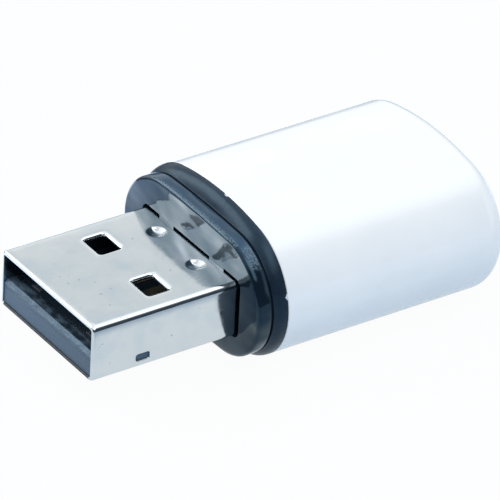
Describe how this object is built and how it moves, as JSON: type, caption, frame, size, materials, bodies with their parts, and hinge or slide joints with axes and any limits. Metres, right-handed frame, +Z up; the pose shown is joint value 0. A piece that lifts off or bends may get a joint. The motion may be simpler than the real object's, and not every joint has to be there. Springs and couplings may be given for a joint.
{
  "type": "usb wireless dongle",
  "caption": "Small oval wireless dongle: a folded steel type A plug in a glossy black front cover, with a white sleeve over its circuit board.",
  "frame": {"origin": "on the surface that the dongle rests on, under the middle of its length and width", "axes": "+X along the length, from the plug's mouth to the rounded rear end; +Z up, with the plug's tongue in the lower half of its mouth"},
  "size_m": [0.0334, 0.018, 0.0113],
  "materials": {
    "plated_steel": "polished",
    "insulator_black": "satin",
    "contact_gold": "polished",
    "cover_black": "gloss",
    "collar_black": "gloss",
    "sleeve_white": "gloss",
    "board_green": "satin",
    "chip_black": "matte",
    "ferrite_grey": "matte",
    "crystal_metal": "satin",
    "antenna_ceramic": "matte",
    "capacitor_ceramic": "matte",
    "resistor_ceramic": "matte"
  },
  "bodies": {
    "root": {"plug_shell": "plated_steel", "plug_insulator": "insulator_black", "contact_vbus": "contact_gold", "contact_data_minus": "contact_gold", "contact_data_plus": "contact_gold", "contact_ground": "contact_gold", "front_cover": "cover_black", "collar_ring": "collar_black", "body_sleeve": "sleeve_white", "circuit_board": "board_green", "voltage_regulator": "chip_black", "surge_protector": "chip_black", "ferrite_bead": "ferrite_grey", "radio_chip": "chip_black", "crystal": "crystal_metal", "flash_chip": "chip_black", "chip_antenna": "antenna_ceramic", "feed_inductor": "ferrite_grey", "bulk_capacitor_1": "capacitor_ceramic", "bulk_capacitor_2": "capacitor_ceramic", "tuning_capacitor_1": "capacitor_ceramic", "tuning_capacitor_2": "capacitor_ceramic", "tuning_capacitor_3": "capacitor_ceramic", "tuning_capacitor_4": "capacitor_ceramic", "load_capacitor_1": "capacitor_ceramic", "load_capacitor_2": "capacitor_ceramic", "resistor_1": "resistor_ceramic", "resistor_2": "resistor_ceramic", "decoupling_capacitor_1": "capacitor_ceramic", "decoupling_capacitor_2": "capacitor_ceramic"}
  },
  "joints": []
}
